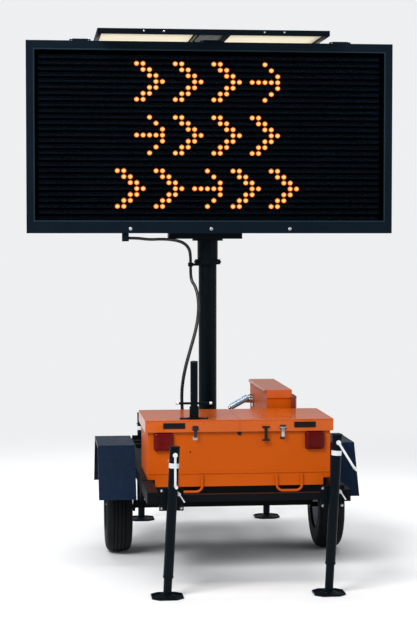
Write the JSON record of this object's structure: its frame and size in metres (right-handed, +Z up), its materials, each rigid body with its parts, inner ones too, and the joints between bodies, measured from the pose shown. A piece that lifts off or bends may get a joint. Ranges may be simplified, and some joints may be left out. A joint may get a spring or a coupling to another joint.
{
  "type": "message sign trailer",
  "caption": "Towed full-matrix message sign on a lifting mast with a solar panel, battery box and corner jacks.",
  "frame": {"origin": "on the ground under the middle of the trailer's overall box", "axes": "+X to the right seen from behind, +Y towards the drawbar, +Z up"},
  "size_m": [2.82, 4.48, 3.821],
  "materials": {
    "orange_paint": "gloss safety-orange paint",
    "navy_paint": "satin navy paint",
    "black_paint": "satin black paint",
    "sign_black": "black powder coat on aluminium",
    "slat_black": "matte black louvre",
    "board_black": "matte black circuit board",
    "window_clear": "clear hard-coated window",
    "zinc": "bright zinc plate",
    "motor_grey": "grey-blue enamel",
    "rim_paint": "silver wheel paint",
    "tyre_rubber": "tyre rubber",
    "black_rubber": "moulded rubber",
    "lens_red": "moulded red lens",
    "battery_case": "moulded battery case",
    "control_grey": "moulded grey housing",
    "panel_frame": "black anodised",
    "panel_glass": "dark cells under glass, cream back sheet",
    "conduit_black": "black corrugated conduit",
    "steel_dark": "chassis black"
  },
  "bodies": {
    "root": {"chassis_rails": "steel_dark", "cross_members": "steel_dark", "drawbar": "steel_dark", "coupler_body": "zinc", "deck_plate": "steel_dark", "axle_beam": "steel_dark", "axle_hangers": "steel_dark", "fender_left": "navy_paint", "fender_right": "navy_paint", "jack_plates": "steel_dark", "battery_box": "orange_paint", "batteries": "battery_case", "box_apron": "orange_paint", "tie_down_hoops": "orange_paint", "tail_lights": "lens_red", "cabinet_body": "orange_paint", "control_unit": "control_grey", "lift_motor": "motor_grey", "mast_post": "black_paint", "mast_base": "black_paint", "lift_barrel": "steel_dark", "conduit_lower": "conduit_black"},
    "wheel_left": {"tyre_left": "tyre_rubber", "rim_left": "rim_paint"},
    "wheel_right": {"tyre_right": "tyre_rubber", "rim_right": "rim_paint"},
    "lift_sleeve": {"mast_sleeve": "black_paint", "lift_rod": "zinc"},
    "sign_head": {"head_bracket": "black_paint", "sign_case": "sign_black", "display_board": "board_black", "louvre_slats": "slat_black", "solar_mount": "panel_frame", "conduit_upper": "conduit_black"},
    "sign_door": {"door_frame": "sign_black", "door_window": "window_clear", "door_latches": "zinc"},
    "solar_panel": {"solar_frame": "panel_frame", "solar_laminate": "panel_glass"},
    "lid_left": {"battery_lid_left": "orange_paint", "lid_post": "black_paint"},
    "lid_right": {"battery_lid_right": "orange_paint", "rubber_latch": "black_rubber"},
    "clamp_bar": {"clamp_bar": "zinc"},
    "hasp_left": {"hasp_left": "zinc"},
    "hasp_right": {"hasp_right": "zinc"},
    "cabinet_lid": {"cabinet_lid": "orange_paint"},
    "coupler_latch": {"coupler_latch": "zinc"},
    "jack_tube_rear_left": {"jack_tube_rear_left": "black_paint"},
    "jack_leg_rear_left": {"jack_leg_rear_left": "black_paint"},
    "jack_crank_rear_left": {"jack_crank_rear_left": "zinc"},
    "jack_tube_rear_right": {"jack_tube_rear_right": "black_paint"},
    "jack_leg_rear_right": {"jack_leg_rear_right": "black_paint"},
    "jack_crank_rear_right": {"jack_crank_rear_right": "zinc"},
    "jack_tube_front_left": {"jack_tube_front_left": "black_paint"},
    "jack_leg_front_left": {"jack_leg_front_left": "black_paint"},
    "jack_crank_front_left": {"jack_crank_front_left": "zinc"},
    "jack_tube_front_right": {"jack_tube_front_right": "black_paint"},
    "jack_leg_front_right": {"jack_leg_front_right": "black_paint"},
    "jack_crank_front_right": {"jack_crank_front_right": "zinc"}
  },
  "joints": [
    {"name": "wheel_left_spin", "type": "hinge", "parent": "root", "child": "wheel_left", "pos_m": [-0.76, -0.53, 0.313], "axis": [1, 0, 0], "continuous": true},
    {"name": "wheel_right_spin", "type": "hinge", "parent": "root", "child": "wheel_right", "pos_m": [0.76, -0.53, 0.313], "axis": [1, 0, 0], "continuous": true},
    {"name": "mast_lift", "type": "slide", "parent": "root", "child": "lift_sleeve", "axis": [0, 0, 1], "range_m": [-1, 0], "deforming": ["conduit_lower"]},
    {"name": "sign_turn", "type": "hinge", "parent": "lift_sleeve", "child": "sign_head", "pos_m": [0, 0.5, 2.3], "axis": [0, 0, 1], "range_deg": [-180, 180], "deforming": ["conduit_upper"]},
    {"name": "sign_door_hinge", "type": "hinge", "parent": "sign_head", "child": "sign_door", "pos_m": [0, 0.24, 3.76], "axis": [-1, 0, 0], "range_deg": [0, 75]},
    {"name": "solar_tilt", "type": "hinge", "parent": "sign_head", "child": "solar_panel", "pos_m": [0, 0.46, 3.764], "axis": [-1, 0, 0], "range_deg": [0, 45]},
    {"name": "lid_left_hinge", "type": "hinge", "parent": "root", "child": "lid_left", "pos_m": [-0.3, -0.855, 1.04], "axis": [-1, 0, 0], "range_deg": [0, 80]},
    {"name": "lid_right_hinge", "type": "hinge", "parent": "root", "child": "lid_right", "pos_m": [0.3, -0.855, 1.04], "axis": [-1, 0, 0], "range_deg": [0, 80]},
    {"name": "clamp_bar_turn", "type": "hinge", "parent": "lid_left", "child": "clamp_bar", "pos_m": [-0.297, -1.45, 1.158], "axis": [0, 0, 1], "continuous": true},
    {"name": "hasp_left_swing", "type": "hinge", "parent": "lid_left", "child": "hasp_left", "pos_m": [-0.297, -1.544, 1], "axis": [-1, 0, 0], "range_deg": [0, 110]},
    {"name": "hasp_right_swing", "type": "hinge", "parent": "lid_right", "child": "hasp_right", "pos_m": [0.289, -1.544, 1], "axis": [-1, 0, 0], "range_deg": [0, 110]},
    {"name": "cabinet_lid_hinge", "type": "hinge", "parent": "root", "child": "cabinet_lid", "pos_m": [0.272, -0.385, 1.172], "axis": [0, -1, 0], "range_deg": [0, 95]},
    {"name": "coupler_latch_lift", "type": "hinge", "parent": "root", "child": "coupler_latch", "pos_m": [0, 2.103, 0.596], "axis": [1, 0, 0], "range_deg": [0, 90]},
    {"name": "jack_swivel_rear_left", "type": "hinge", "parent": "root", "child": "jack_tube_rear_left", "pos_m": [-0.499, -2.043, 0.612], "axis": [0, 1, 0], "range_deg": [0, 90]},
    {"name": "jack_crank_rear_left", "type": "hinge", "parent": "jack_tube_rear_left", "child": "jack_crank_rear_left", "pos_m": [-0.48364, -2.15, 0.905], "axis": [0, -1, 0], "range_deg": [-7800, 3000]},
    {"name": "jack_leg_rear_left", "type": "slide", "parent": "jack_tube_rear_left", "child": "jack_leg_rear_left", "axis": [0.0523, 0, 0.9986], "range_m": [-0.261, 0.101]},
    {"name": "jack_swivel_rear_right", "type": "hinge", "parent": "root", "child": "jack_tube_rear_right", "pos_m": [0.532, -2.043, 0.612], "axis": [0, 1, 0], "range_deg": [-90, 0]},
    {"name": "jack_crank_rear_right", "type": "hinge", "parent": "jack_tube_rear_right", "child": "jack_crank_rear_right", "pos_m": [0.55081, -2.15, 0.971], "axis": [0, -1, 0], "range_deg": [-7800, 4800]},
    {"name": "jack_leg_rear_right", "type": "slide", "parent": "jack_tube_rear_right", "child": "jack_leg_rear_right", "axis": [0.0523, 0, 0.9986], "range_m": [-0.261, 0.161]},
    {"name": "jack_swivel_front_left", "type": "hinge", "parent": "root", "child": "jack_tube_front_left", "pos_m": [-0.507, 0.703, 0.612], "axis": [0, 1, 0], "range_deg": [0, 90]},
    {"name": "jack_crank_front_left", "type": "hinge", "parent": "jack_tube_front_left", "child": "jack_crank_front_left", "pos_m": [-0.507, 0.81, 0.81], "axis": [0, 1, 0], "range_deg": [-3000, 7800]},
    {"name": "jack_leg_front_left", "type": "slide", "parent": "jack_tube_front_left", "child": "jack_leg_front_left", "axis": [0, 0, 1], "range_m": [-0.101, 0.261]},
    {"name": "jack_swivel_front_right", "type": "hinge", "parent": "root", "child": "jack_tube_front_right", "pos_m": [0.507, 0.703, 0.612], "axis": [0, 1, 0], "range_deg": [-90, 0]},
    {"name": "jack_crank_front_right", "type": "hinge", "parent": "jack_tube_front_right", "child": "jack_crank_front_right", "pos_m": [0.507, 0.81, 0.81], "axis": [0, 1, 0], "range_deg": [-3000, 7800]},
    {"name": "jack_leg_front_right", "type": "slide", "parent": "jack_tube_front_right", "child": "jack_leg_front_right", "axis": [0, 0, 1], "range_m": [-0.101, 0.261]}
  ],
  "couplings": [
    {"joint": "jack_leg_rear_left", "follows": "jack_crank_rear_left", "m_per_rad": 0.0019099},
    {"joint": "jack_leg_rear_right", "follows": "jack_crank_rear_right", "m_per_rad": 0.0019099},
    {"joint": "jack_leg_front_left", "follows": "jack_crank_front_left", "m_per_rad": 0.0019099},
    {"joint": "jack_leg_front_right", "follows": "jack_crank_front_right", "m_per_rad": 0.0019099}
  ]
}
